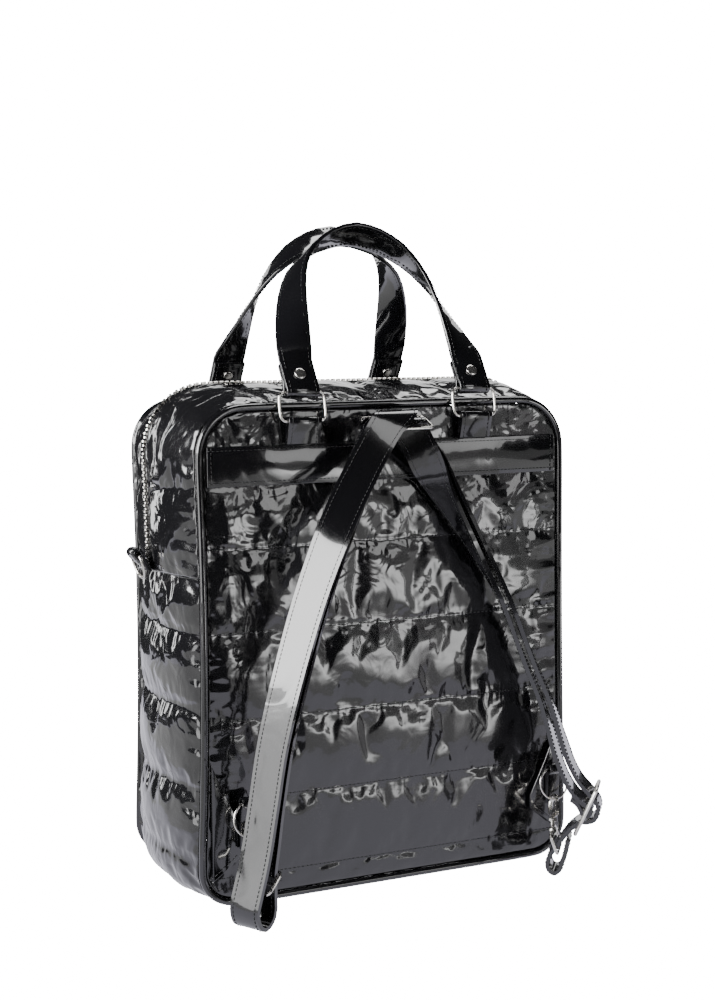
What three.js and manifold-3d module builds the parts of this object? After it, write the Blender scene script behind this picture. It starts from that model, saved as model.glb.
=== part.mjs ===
// Quilted puffer backpack of glossy padded vinyl, with two top handles and one doubled shoulder strap.
// Millimetres, +Z up. The origin is on the floor under the middle of the bag.
// The panel with the shoulder strap faces -Y.

import * as THREE from 'three';
import { mergeVertices } from 'three/addons/utils/BufferGeometryUtils.js';
import Module from 'manifold-3d';

const wasm = await Module();
wasm.setup();

// Driving sizes of the bag
const gap = 0.3;
const topWidth = 300;
const bottomWidth = 306;
const panelBottom = 3;
const panelTop = 361;
const depth = 141;
const topRadius = 39;
const bottomRadius = 30;
const leftWaist = 5;
const rightWaist = 1.5;
const wall = 3;
const zipEndHeight = 239;

// Padding, as heights over the seams
const padding = { panel: 6, underBand: 2, side: 14, top: 13, bottom: 9, scallop: 4, padDepth: 5 };

// Piping, bands and zip
const pipingRadius = 3;
const band = { low: 303, high: 331, thickness: 2.5, inset: 1.5, bow: 0.8 };
const zip = { slot: 8, tapeHalf: 8, tapeThickness: 1.2, toothHalf: 3, sliderUp: 32 };

// Straps, their fittings and the wire of the rings
const strap = { width: 25, thickness: 3 };
const leather = 2;
const wire = 1.5;
const thinWire = 1.1;
const handle = { legX: 69, overRope: 21, barOut: 4, archRise: 114, apexY: 14.5, lean: 32, lap: 24 };
const handleRing = { width: 35, overBand: 16, ropeOut: 7.8, corner: 5 };
const rivet = { headRadius: 5.5, headHeight: 1.5, shank: 1.8, up: 11.5 };
const strapRing = { width: 51, rearOver: 17, rearOut: 6, frontOver: 9.5, frontOut: 25, corner: 4 };
const slider = { width: 30, corner: 4 };
const eye = { width: 28.6, wire: 1.2, corner: 3, boss: 3.2 };
const hook = { wire: 1.8, post: 1.4, ringAt: 15.8, lever: 2.4 };
const collarSize = { radius: 3.2, height: 1.6, below: 1 };
const cheekSize = { thick: 1, wide: 7.4, tall: 4.2, across: 2.7, up: 4.3 };
const triangle = { low: 24.2, high: 108.5, tip: 49.5, tipX: 117.6, tipWidth: 10 };
const ringLoop = { out: 12.6, tailOut: 8.7, hole: 3, ply: 1.4, ringUp: 0.8, footIn: 2 };
const oRings = {
  left: { loopX: 118, top: 81, lowX: 116, lowOut: 18.5, low: 57 },
  right: { loopX: 134.5, top: 75, lowX: 131.3, lowOut: 17.8, low: 52.2 },
};
const leftEye = { highX: 114.6, highOut: 38.5, high: 41, low: 28 };
const rightEye = { highT: -0.5, high: 33, lowT: 4.5, low: 18.5 };
const sideTab = { width: 18, reach: 9.5, rise: 12, barWidth: 23, drop: 19, dropIn: 5.5 };

// Heights of the rings' bars and of the handles, over the bands
const ropeHeight = band.high + handleRing.overBand;
const barHeight = ropeHeight + handle.overRope;
const apexHeight = barHeight + handle.archRise;
const rearHeight = band.high + strapRing.rearOver;
const frontHeight = band.high + strapRing.frontOver;

// Lengths of the gathers across a panel and up it
const gathers = { wide: 9, tall: 17, fineWide: 5.3, fineTall: 11 };

// Quilt seams, as shares of the height for the panels and of the seam spacing round the side wall
const panelSeams = [0.06, 0.215, 0.374, 0.548, 0.715];
const sideSeams = [1, 0.894, 0.75, 0.601, 0.463, 0.308, 0.154, 0];
const upperSeams = [0, 0.235, 0.49, 0.75, 1];
const puffRows = [0, 0.13, 0.5, 0.87];
const cornerRows = [0, 0.16, 0.33, 0.5, 0.67, 0.84];

const vec = (x, y, z) => new THREE.Vector3(x, y, z);
const lerp = THREE.MathUtils.lerp;
const radians = THREE.MathUtils.degToRad;

const looks = {
  vinyl: { color: 0x0b0b0d, roughness: 0.12, metalness: 0 },
  trim: { color: 0x08080a, roughness: 0.1, metalness: 0 },
  tape: { color: 0x121214, roughness: 0.75, metalness: 0 },
  metal: { color: 0xc9c7c2, roughness: 0.2, metalness: 1 },
};

const bag = new THREE.Group();

function addPiece(name, geometry, look) {
  const mesh = new THREE.Mesh(geometry, new THREE.MeshStandardMaterial(looks[look]));
  mesh.name = name;
  bag.add(mesh);
  return mesh;
}

// Closed shells from shared points

class Shell {
  constructor() {
    this.points = [];
    this.faces = [];
  }

  row(points) {
    return points.map((point) => this.points.push(point) - 1);
  }

  quad(a, b, c, d) {
    this.faces.push([a, b, c], [a, c, d]);
  }

  band(first, second, closed = false) {
    const count = closed ? first.length : first.length - 1;
    for (let i = 0; i < count; i += 1) {
      const next = (i + 1) % first.length;
      this.quad(first[i], first[next], second[next], second[i]);
    }
  }

  fan(ring) {
    for (let i = 1; i < ring.length - 1; i += 1) this.faces.push([ring[0], ring[i], ring[i + 1]]);
  }

  volume() {
    let sum = 0;
    for (const [a, b, c] of this.faces) {
      sum += this.points[a].dot(this.points[b].clone().cross(this.points[c]));
    }
    return sum / 6;
  }

  geometry() {
    const outward = this.volume() > 0;
    const index = this.faces.flatMap(([a, b, c]) => (outward ? [a, b, c] : [a, c, b]));
    const geometry = new THREE.BufferGeometry().setFromPoints(this.points);
    geometry.setIndex(index);
    geometry.computeVertexNormals();
    return geometry;
  }
}

// Skin through rings of points, capped at both ends unless it closes on itself
function skin(rings, closed = false) {
  const shell = new Shell();
  const rows = rings.map((ring) => shell.row(ring));
  const steps = closed ? rows.length : rows.length - 1;
  for (let k = 0; k < steps; k += 1) shell.band(rows[k], rows[(k + 1) % rows.length], true);
  if (!closed) {
    shell.fan([...rows[0]].reverse());
    shell.fan(rows[rows.length - 1]);
  }
  return shell.geometry();
}

// Wall between an outer and an inner row of points at each section
function wallSkin(sections) {
  const shell = new Shell();
  const rows = sections.map(({ outer, inner }) => ({ outer: shell.row(outer), inner: shell.row(inner) }));
  const last = rows[0].outer.length - 1;
  for (let k = 0; k < rows.length - 1; k += 1) {
    const here = rows[k];
    const next = rows[k + 1];
    shell.band(here.outer, next.outer);
    shell.band([...here.inner].reverse(), [...next.inner].reverse());
    shell.quad(here.inner[0], here.outer[0], next.outer[0], next.inner[0]);
    shell.quad(here.outer[last], here.inner[last], next.inner[last], next.outer[last]);
  }
  const first = rows[0];
  const end = rows[rows.length - 1];
  shell.band(first.inner, first.outer);
  shell.band(end.outer, end.inner);
  return shell.geometry();
}

function toManifold(geometry) {
  const bare = geometry.clone();
  bare.deleteAttribute('normal');
  bare.deleteAttribute('uv');
  const merged = mergeVertices(bare, 1e-4);
  const vertProperties = new Float32Array(merged.attributes.position.array);
  const triVerts = new Uint32Array(merged.index.array);
  return new wasm.Manifold(new wasm.Mesh({ numProp: 3, vertProperties, triVerts }));
}

function fromManifold(solid) {
  const { vertProperties, triVerts } = solid.getMesh();
  const geometry = new THREE.BufferGeometry();
  geometry.setAttribute('position', new THREE.BufferAttribute(new Float32Array(vertProperties), 3));
  geometry.setIndex(new THREE.BufferAttribute(new Uint32Array(triVerts), 1));
  geometry.computeVertexNormals();
  return geometry;
}

const joined = (...pieces) => fromManifold(pieces.map(toManifold).reduce((sum, piece) => sum.add(piece)));
const without = (piece, tool) => fromManifold(toManifold(piece).subtract(toManifold(tool)));

// Outline of the panels: a rounded rectangle whose sides lean and draw in a little

const halfBottom = bottomWidth / 2;
const panelHeight = panelTop - panelBottom;
const bottomRun = halfBottom - bottomRadius;
const bottomArc = (bottomRadius * Math.PI) / 2;
const sideRun = panelHeight - bottomRadius - topRadius;
const topArc = (topRadius * Math.PI) / 2;
const topRun = halfBottom - topRadius;
const sideStart = bottomRun + bottomArc;
const sideEnd = sideStart + sideRun;
const topCentre = sideEnd + topArc + topRun;
const zipEnd = sideStart + zipEndHeight - panelBottom - bottomRadius;

function halfWidthShare(z, side) {
  const share = THREE.MathUtils.clamp((z - panelBottom) / panelHeight, 0, 1);
  const waist = side < 0 ? leftWaist : rightWaist;
  return (lerp(bottomWidth, topWidth, share) / 2 - waist * 4 * share * (1 - share)) / halfBottom;
}

// Point and outward direction at a distance round the outline from the middle of the bottom
function edgeAt(along) {
  const side = along < 0 ? -1 : 1;
  const run = Math.abs(along);
  let x;
  let z;
  let turn;
  if (run <= bottomRun) {
    [x, z, turn] = [run, panelBottom, -Math.PI / 2];
  } else if (run <= sideStart) {
    turn = -Math.PI / 2 + (run - bottomRun) / bottomRadius;
    x = bottomRun + bottomRadius * Math.cos(turn);
    z = panelBottom + bottomRadius * (1 + Math.sin(turn));
  } else if (run <= sideEnd) {
    [x, z, turn] = [halfBottom, panelBottom + bottomRadius + run - sideStart, 0];
  } else if (run <= sideEnd + topArc) {
    turn = (run - sideEnd) / topRadius;
    x = topRun + topRadius * Math.cos(turn);
    z = panelTop - topRadius * (1 - Math.sin(turn));
  } else {
    [x, z, turn] = [topCentre - run, panelTop, Math.PI / 2];
  }
  return { x: side * x * halfWidthShare(z, side), z, nx: side * Math.cos(turn), nz: Math.sin(turn) };
}

function shellPoint(along, y, out) {
  const edge = edgeAt(along);
  return vec(edge.x + edge.nx * out, y, edge.z + edge.nz * out);
}

function stations(seams, shares) {
  const list = [];
  for (let i = 0; i < seams.length - 1; i += 1) {
    const rows = Array.isArray(shares) ? shares : shares(seams[i], seams[i + 1]);
    for (const share of rows) list.push(lerp(seams[i], seams[i + 1], share));
  }
  list.push(seams[seams.length - 1]);
  return list;
}

// Height of a puff between two seams, from 0 at a seam to 1 between them
function puffShare(place, seams) {
  for (let i = 0; i < seams.length - 1; i += 1) {
    const low = Math.min(seams[i], seams[i + 1]);
    const high = Math.max(seams[i], seams[i + 1]);
    if (place >= low && place <= high) {
      return Math.sin((Math.PI * (place - low)) / (high - low)) ** 0.6;
    }
  }
  return 0;
}

// Quilted panels

const seamHeight = panelBottom + 2 * pipingRadius + gap;
const rimInset = 2 * pipingRadius + gap;
const panelSeamHeights = [
  panelBottom + rimInset,
  ...panelSeams.map((share) => panelBottom + share * panelHeight),
  band.low,
];
const topPuff = [band.high, panelTop - rimInset];
const columnShares = [-1, -0.94, -0.8, -0.55, -0.28, 0, 0.28, 0.55, 0.8, 0.94, 1];

function rimHalfWidth(z) {
  const lowRadius = bottomRadius - rimInset;
  const highRadius = topRadius - rimInset;
  const low = panelBottom + rimInset + lowRadius - z;
  const high = z - (panelTop - rimInset - highRadius);
  let cut = 0;
  if (low > 0) cut = lowRadius - Math.sqrt(Math.max(lowRadius ** 2 - low ** 2, 0));
  if (high > 0) cut = highRadius - Math.sqrt(Math.max(highRadius ** 2 - high ** 2, 0));
  return halfBottom - rimInset - cut;
}

function panelRows() {
  const lowCorner = [0.12, 0.4, 0.75].map((share) => seamHeight + share * (bottomRadius - rimInset));
  const highCorner = [0, 0.3, 0.6, 0.85, 0.96].map(
    (share) => panelTop - topRadius + share * (topRadius - rimInset),
  );
  const rows = [
    ...stations(panelSeamHeights, puffRows),
    ...stations(topPuff, [0, 0.2, 0.6]),
    ...lowCorner,
    ...highCorner,
  ].sort((a, b) => a - b);
  return rows.filter((z, i) => i === 0 || z - rows[i - 1] > 1.2);
}

function panelSwell(x, z, half) {
  const across = Math.min(1, (half - Math.abs(x)) / (2.5 * padding.panel));
  const crown = 0.72 + 0.28 * Math.cos((x / half) * (Math.PI / 2));
  const coarse = 0.12 * Math.sin(x / gathers.wide + z / gathers.tall);
  const gather = coarse + 0.08 * Math.sin(x / gathers.fineWide - z / gathers.fineTall);
  const lift = padding.panel * puffShare(z, panelSeamHeights) + padding.underBand * puffShare(z, topPuff);
  return lift * Math.sqrt(across) * (crown + gather);
}

function panel(facing) {
  const shell = new Shell();
  const fronts = [];
  const inners = [];
  for (const z of panelRows()) {
    const half = rimHalfWidth(z);
    const place = (x, y) => vec(x * halfWidthShare(z, Math.sign(x)), facing * y, z);
    const front = columnShares
      .map((share) => share * half)
      .map((x) => place(x, depth / 2 + panelSwell(x, z, half)));
    fronts.push(shell.row(front));
    inners.push(shell.row([place(-half, depth / 2 - wall), place(half, depth / 2 - wall)]));
  }
  const last = columnShares.length - 1;
  for (let k = 0; k < fronts.length - 1; k += 1) {
    shell.band(fronts[k], fronts[k + 1]);
    shell.quad(inners[k][1], inners[k][0], inners[k + 1][0], inners[k + 1][1]);
    shell.quad(inners[k][0], fronts[k][0], fronts[k + 1][0], inners[k + 1][0]);
    shell.quad(fronts[k][last], inners[k][1], inners[k + 1][1], fronts[k + 1][last]);
  }
  const end = fronts.length - 1;
  shell.fan([inners[0][0], inners[0][1], ...[...fronts[0]].reverse()]);
  shell.fan([inners[end][1], inners[end][0], ...fronts[end]]);
  return shell.geometry();
}

addPiece('back_panel', panel(-1), 'vinyl');
addPiece('front_panel', panel(1), 'vinyl');

// Corded piping round both panels

function pipingStations() {
  const half = [
    ...stations([0, bottomRun], [0, 0.5]),
    ...stations([bottomRun, sideStart], cornerRows).slice(1),
    ...stations([sideStart, sideEnd], [0, 0.14, 0.28, 0.43, 0.57, 0.71, 0.86]).slice(1),
    ...stations([sideEnd, sideEnd + topArc], cornerRows).slice(1),
    ...stations([sideEnd + topArc, topCentre], [0, 0.5]).slice(1),
  ];
  const back = half.slice(1, -1).reverse().map((along) => -along);
  return [...half, ...back];
}

function piping(facing) {
  const sides = 6;
  const rings = pipingStations().map((along) => {
    const ring = [];
    for (let i = 0; i < sides; i += 1) {
      const angle = (2 * Math.PI * i) / sides;
      const out = -pipingRadius + pipingRadius * Math.cos(angle);
      ring.push(shellPoint(along, facing * (depth / 2 + pipingRadius * Math.sin(angle)), out));
    }
    return ring;
  });
  return skin(rings, true);
}

addPiece('back_piping', piping(-1), 'trim');
addPiece('front_piping', piping(1), 'trim');

// Side wall: the U below the zip ends, and the two strips beside the zip

const wallEdge = depth / 2 - pipingRadius - gap;
const lowerSeams = sideSeams.map((share) => zipEnd * share);
const upperStart = zipEnd + gap;
const upperSeamPlaces = upperSeams.map((share) => lerp(upperStart, topCentre, share));

function fullSwell(along) {
  const { nz } = edgeAt(along);
  return nz > 0 ? lerp(padding.side, padding.top, nz) : lerp(padding.side, padding.bottom, -nz);
}

function lowerSwell(along) {
  const puff = puffShare(Math.abs(along), lowerSeams);
  return fullSwell(along) - padding.scallop * (1 - puff);
}

function upperSwell(along, share) {
  const puff = puffShare(Math.abs(along), upperSeamPlaces);
  return fullSwell(along) - padding.scallop * (1 - puff) * Math.min(1, 1.6 * share);
}

const crown = (share) => 1 - Math.abs(share) ** 2.2;

function wallPoint(along, y, out) {
  const point = shellPoint(along, y, out);
  point.z = Math.max(point.z, 0);
  return point;
}

function cornerOrPuff(from, to) {
  const low = Math.min(Math.abs(from), Math.abs(to));
  const high = Math.max(Math.abs(from), Math.abs(to));
  const turns = (low < sideStart && high > bottomRun) || (low < sideEnd + topArc && high > sideEnd);
  return turns ? cornerRows : puffRows;
}

function lowerWall() {
  const shares = [-1, -0.72, -0.25, 0.25, 0.72, 1];
  const right = stations(lowerSeams, cornerOrPuff);
  const places = [...right, ...right.slice(0, -1).reverse().map((along) => -along)];
  const sections = places.map((along) => {
    const swell = lowerSwell(along);
    const outer = shares.map((share) => wallPoint(along, share * wallEdge, swell * crown(share) - 1));
    const inner = shares.map((share) => {
      const hollow = Math.max(swell - padding.padDepth, 0) * crown(share);
      return shellPoint(along, share * wallEdge, hollow - wall - 1);
    });
    return { outer, inner };
  });
  return wallSkin(sections);
}

function upperStrip(facing) {
  const inside = zip.slot / 2 / wallEdge;
  const shares = [1, 0.8, 0.42, inside];
  const right = stations(upperSeamPlaces, cornerOrPuff);
  const places = [...right, ...right.slice(0, -1).reverse().map((along) => -along)];
  const sections = places.map((along) => {
    const at = (share, out) => shellPoint(along, facing * share * wallEdge, out);
    const outer = shares.map((share) => at(share, upperSwell(along, share) * crown(share) - 1));
    const inner = shares.map((share) => {
      const thick = share === inside ? wall : lerp(wall, wall + padding.padDepth, crown(share)) * 0.75;
      return at(share, upperSwell(along, share) * crown(share) - 1 - Math.max(thick, wall));
    });
    return { outer, inner };
  });
  return wallSkin(sections);
}

addPiece('lower_wall', lowerWall(), 'vinyl');
addPiece('rear_zip_strip', upperStrip(-1), 'vinyl');
addPiece('front_zip_strip', upperStrip(1), 'vinyl');

// Zip: woven tape under the two strips, a row of teeth on it and its slider

const zipFace = (along) => fullSwell(along) * crown(zip.slot / 2 / wallEdge) - 1;

function zipBand(halfWidth, low, high) {
  const right = stations(upperSeamPlaces, (from, to) => {
    const rows = cornerOrPuff(from, to);
    return rows === cornerRows ? cornerRows : [0, 0.5];
  });
  const places = [...right, ...right.slice(0, -1).reverse().map((along) => -along)];
  const rings = places.map((along) => [
    shellPoint(along, -halfWidth, low(along)),
    shellPoint(along, halfWidth, low(along)),
    shellPoint(along, halfWidth, high(along)),
    shellPoint(along, -halfWidth, high(along)),
  ]);
  return skin(rings);
}

const tapeTop = (along) => zipFace(along) - wall - 1.8;
addPiece('zip_tape', zipBand(zip.tapeHalf, (along) => tapeTop(along) - zip.tapeThickness, tapeTop), 'tape');
const teethLow = (along) => tapeTop(along) + gap;
const teethHigh = (along) => zipFace(along) - 1;
addPiece('zip_teeth', zipBand(zip.toothHalf, teethLow, teethHigh), 'metal');

// A slider with its pull at the right end of the zip

function zipSlider() {
  const along = upperStart + zip.sliderUp;
  const { nx, nz } = edgeAt(along);
  const body = new THREE.BoxGeometry(2, 7, 12);
  const tongue = new THREE.BoxGeometry(2, 5, 20).translate(1.2, 0, -8);
  const frame = new THREE.Matrix4().makeBasis(vec(nx, 0, nz), vec(0, 1, 0), vec(-nz, 0, nx));
  frame.setPosition(shellPoint(along, 0, teethHigh(along) + gap + 1));
  return joined(body, tongue).applyMatrix4(frame);
}

addPiece('zip_slider', zipSlider(), 'metal');

// Pieces of both faces are made for the front and turned round for the back

const turned = (geometry) => geometry.clone().rotateZ(Math.PI);

function addFrontAndBack(name, geometry, look) {
  addPiece(`front_${name}`, geometry, look);
  addPiece(`back_${name}`, turned(geometry), look);
}

// Flat stitched band across each panel

function flatBand() {
  const half = (rimHalfWidth(band.high) - band.inset) * halfWidthShare(band.high, -1);
  const face = depth / 2 + gap;
  const rings = [-1, -0.6, -0.2, 0.2, 0.6, 1].map((share) => {
    const [x, low, high] = [share * half, face, face + band.thickness + band.bow * (1 - share ** 2)];
    return [vec(x, low, band.low), vec(x, high, band.low), vec(x, high, band.high), vec(x, low, band.high)];
  });
  return skin(rings);
}

addFrontAndBack('band', flatBand(), 'trim');

// Folded tab whose loop holds a ring's bar; it is drawn with its thickness outwards and its height up

function loopTab({ out, height, foot, tailOut, hole, ply, width, start = -35 }) {
  const radius = hole + ply;
  const shape = new THREE.Shape();
  shape.moveTo(tailOut, foot);
  shape.lineTo(tailOut + 2 * ply, foot);
  const steps = 8;
  for (let i = 0; i <= steps; i += 1) {
    const angle = radians(lerp(start, 195, i / steps));
    shape.lineTo(out + radius * Math.cos(angle), height + radius * Math.sin(angle));
  }
  shape.closePath();
  const bore = new THREE.Path();
  bore.absarc(out, height, hole, 0, 2 * Math.PI, true);
  shape.holes.push(bore);
  const geometry = new THREE.ExtrudeGeometry(shape, { depth: width, bevelEnabled: false, curveSegments: 6 });
  const turn = new THREE.Matrix4().makeBasis(vec(0, 1, 0), vec(0, 0, 1), vec(1, 0, 0));
  return geometry.applyMatrix4(turn.setPosition(-width / 2, 0, 0));
}

// Round wire along a path in one plane; rings close on themselves

function wireAlong(path, radius, closed = true, sides = 5) {
  const count = path.length;
  const rings = path.map((centre, i) => {
    const before = closed ? path[(i + count - 1) % count] : path[Math.max(i - 1, 0)];
    const after = closed ? path[(i + 1) % count] : path[Math.min(i + 1, count - 1)];
    const ahead = after.clone().sub(before).normalize();
    const out = vec(ahead.y, -ahead.x, 0);
    const ring = [];
    for (let k = 0; k < sides; k += 1) {
      const angle = (2 * Math.PI * k) / sides;
      const side = out.clone().multiplyScalar(radius * Math.cos(angle));
      ring.push(centre.clone().add(side).add(vec(0, 0, radius * Math.sin(angle))));
    }
    return ring;
  });
  return skin(rings, closed);
}

function roundedPath(width, height, corner) {
  const path = [];
  [[1, 1], [-1, 1], [-1, -1], [1, -1]].forEach(([sx, sy], quarter) => {
    for (let i = 0; i <= 3; i += 1) {
      const angle = (quarter + i / 3) * (Math.PI / 2);
      const x = sx * (width / 2 - corner) + corner * Math.cos(angle);
      path.push(vec(x, sy * (height / 2 - corner) + corner * Math.sin(angle), 0));
    }
  });
  return path;
}

function roundPath(radius, count) {
  const path = [];
  for (let i = 0; i < count; i += 1) {
    const angle = (2 * Math.PI * i) / count;
    path.push(vec(radius * Math.cos(angle), radius * Math.sin(angle), 0));
  }
  return path;
}

const wireRing = (width, height, corner, radius) => wireAlong(roundedPath(width, height, corner), radius);

// Frame with its first axis along a bar and its second from one bar to the other
function barFrame(from, to, along) {
  const up = to.clone().sub(from).normalize();
  const side = square(along, up);
  const frame = new THREE.Matrix4().makeBasis(side, up, side.clone().cross(up));
  return frame.setPosition(from.clone().lerp(to, 0.5));
}

// Rectangular ring with two bars at given places
function barRing(from, to, along, { width, corner }, radius = wire) {
  return wireRing(width, from.distanceTo(to), corner, radius).applyMatrix4(barFrame(from, to, along));
}

// Handles: each leg passes down through a ring, folds up inside and is held by a rivet

const ringFoot = (x) => vec(x, depth / 2 + handleRing.ropeOut, ropeHeight);
const ringHead = (x) => vec(x, depth / 2 + handle.barOut, barHeight);
const legUp = vec(0, -Math.sin(radians(handle.lean)), Math.cos(radians(handle.lean)));
const legOut = vec(0, Math.cos(radians(handle.lean)), Math.sin(radians(handle.lean)));
const foldRadius = wire + gap + strap.thickness / 2;
const ply = strap.thickness + gap;

const lapRows = [
  { up: handle.lap - 2, out: 0 },
  { up: 7, out: 0 },
  { up: 4.3, out: -1.6 },
  { up: 1.8, out: -3.1 },
];
const archRows = [
  { across: 0.98, lean: 0.25, rise: 0.263, turn: 72 },
  { across: 0.912, lean: 0.483, rise: 0.456, turn: 42 },
  { across: 0.829, lean: 0.687, rise: 0.63, turn: 20 },
  { across: 0.7, lean: 0.865, rise: 0.78, turn: 0 },
  { across: 0.51, lean: 0.96, rise: 0.89, turn: -20 },
  { across: 0.27, lean: 1, rise: 0.965, turn: -32 },
  { across: 0, lean: 1, rise: 1, turn: -37 },
];

function legPoint(up, out) {
  const bar = ringHead(-handle.legX);
  return bar.addScaledVector(legUp, up).addScaledVector(legOut, out);
}

function legRoute() {
  const route = lapRows.map(({ up, out }) => legPoint(up, out));
  const steps = 5;
  for (let i = 0; i <= steps; i += 1) {
    const angle = (Math.PI * i) / steps;
    route.push(legPoint(-foldRadius * Math.sin(angle), -foldRadius * Math.cos(angle)));
  }
  for (const up of [7, 16]) route.push(legPoint(up, foldRadius));
  return route.map((point) => ({ point, turn: 90 }));
}

function archRoute() {
  const start = { point: legPoint(handle.lap, foldRadius), turn: 90 };
  const rows = archRows.map(({ across, lean, rise, turn }) => ({
    point: vec(
      -across * handle.legX,
      lerp(depth / 2 + handle.barOut, handle.apexY, lean),
      lerp(barHeight, apexHeight, rise),
    ),
    turn,
  }));
  const half = [start, ...rows];
  const mirrored = half.slice(0, -1).reverse().map(({ point, turn }) => ({
    point: vec(-point.x, point.y, point.z),
    turn,
  }));
  return smooth([...half, ...mirrored], 2);
}

// Points between the rows of a route, with the turn of the strap in step
function smooth(rows, steps) {
  const curve = new THREE.CatmullRomCurve3(rows.map(({ point }) => point), false, 'centripetal');
  const count = (rows.length - 1) * steps;
  const route = [];
  for (let i = 0; i <= count; i += 1) {
    const place = i / steps;
    const low = Math.min(Math.floor(place), rows.length - 2);
    const turn = lerp(rows[low].turn, rows[low + 1].turn, place - low);
    route.push({ point: curve.getPoint(i / count), turn });
  }
  return route;
}

// Flat strip along a route; each row names the direction across the strip. A slanted row keeps that
// direction where the strip crosses a bar at an angle
function strip(route, width, thickness) {
  const rings = route.map(({ point, across, slanted }, i) => {
    const ahead = heading(route, i);
    const squared = square(across, ahead);
    const side = slanted ? across.clone().divideScalar(across.dot(squared)) : squared;
    side.multiplyScalar(width / 2);
    const face = ahead.clone().cross(side).normalize().multiplyScalar(thickness / 2);
    const low = point.clone().sub(face);
    const high = point.clone().add(face);
    return [low.clone().sub(side), low.clone().add(side), high.clone().add(side), high.clone().sub(side)];
  });
  return skin(rings);
}

function heading(route, i) {
  const before = route[Math.max(i - 1, 0)].point;
  const after = route[Math.min(i + 1, route.length - 1)].point;
  return after.clone().sub(before).normalize();
}

function square(direction, to) {
  return direction.clone().addScaledVector(to, -direction.dot(to)).normalize();
}

function handleStrip() {
  const leg = legRoute();
  const mirror = ({ point, turn }) => ({ point: vec(-point.x, point.y, point.z), turn });
  const route = [...leg, ...archRoute(), ...leg.map(mirror).reverse()];
  const withSides = route.map(({ point, turn }, i) => {
    if (turn === 90) return { point, across: vec(-Math.sign(point.x), 0, 0) };
    const ahead = heading(route, i);
    const level = square(vec(0, 1, 0), ahead);
    const across = level.clone().multiplyScalar(Math.cos(radians(turn)));
    return { point, across: across.addScaledVector(level.cross(ahead), Math.sin(radians(turn))) };
  });
  return strip(withSides, strap.width, strap.thickness);
}

function rivetPlace(x) {
  const frame = new THREE.Matrix4().makeBasis(vec(1, 0, 0), legOut, vec(1, 0, 0).cross(legOut));
  const middle = legPoint(rivet.up, foldRadius - ply / 2);
  return frame.setPosition(x, middle.y, middle.z);
}

function rivetShape() {
  const inner = ply / 2 + strap.thickness / 2 + gap;
  const outer = inner + rivet.headHeight;
  const profile = [
    [0, -outer], [rivet.headRadius * 0.8, -outer], [rivet.headRadius * 0.8, -inner], [rivet.shank, -inner],
    [rivet.shank, inner], [rivet.headRadius, inner], [rivet.headRadius * 0.75, outer], [0, outer],
  ];
  return new THREE.LatheGeometry(profile.map(([r, h]) => new THREE.Vector2(r, h)), 8);
}

function handlePiece() {
  const hole = new THREE.CylinderGeometry(rivet.shank + gap, rivet.shank + gap, 3 * ply, 10);
  return [-1, 1].reduce(
    (piece, side) => without(piece, hole.clone().applyMatrix4(rivetPlace(side * handle.legX))),
    handleStrip(),
  );
}

addFrontAndBack('handle', handlePiece(), 'trim');

const tabSides = [{ name: 'a', side: -1 }, { name: 'b', side: 1 }];
for (const { name, side } of tabSides) {
  const x = side * handle.legX;
  const tab = loopTab({
    out: handleRing.ropeOut, height: ropeHeight, foot: band.high + gap,
    tailOut: padding.underBand + 1, hole: wire + gap, ply: leather, width: strap.width,
  });
  addFrontAndBack(`handle_tab_${name}`, tab.translate(x, depth / 2, 0), 'trim');
  const ring = barRing(ringFoot(x), ringHead(x), vec(1, 0, 0), handleRing);
  addFrontAndBack(`handle_ring_${name}`, ring, 'metal');
  addFrontAndBack(`rivet_${name}`, rivetShape().applyMatrix4(rivetPlace(x)), 'metal');
}

// Tab and ring in the middle of the back band that carry the shoulder strap

const middleTab = loopTab({
  out: strapRing.rearOut, height: rearHeight, foot: band.high + gap,
  tailOut: padding.underBand + 0.6, hole: wire + gap, ply: leather, width: strap.width,
});
addPiece('strap_tab', turned(middleTab.translate(0, depth / 2, 0)), 'trim');
const behind = (x, out, z) => vec(x, -depth / 2 - out, z);
const rearBar = behind(0, strapRing.rearOut, rearHeight);
const frontBar = behind(0, strapRing.frontOut, frontHeight);
addPiece('strap_ring', barRing(rearBar, frontBar, vec(1, 0, 0), strapRing), 'metal');

// Shoulder strap: one strip that runs round its length twice. Rows give the middle of its two layers
// as shares of the bottom half width, of the ring's reach and of the ring's height; facing is the
// direction of the outer layer, from straight back towards that side; apart is between the layers

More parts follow.
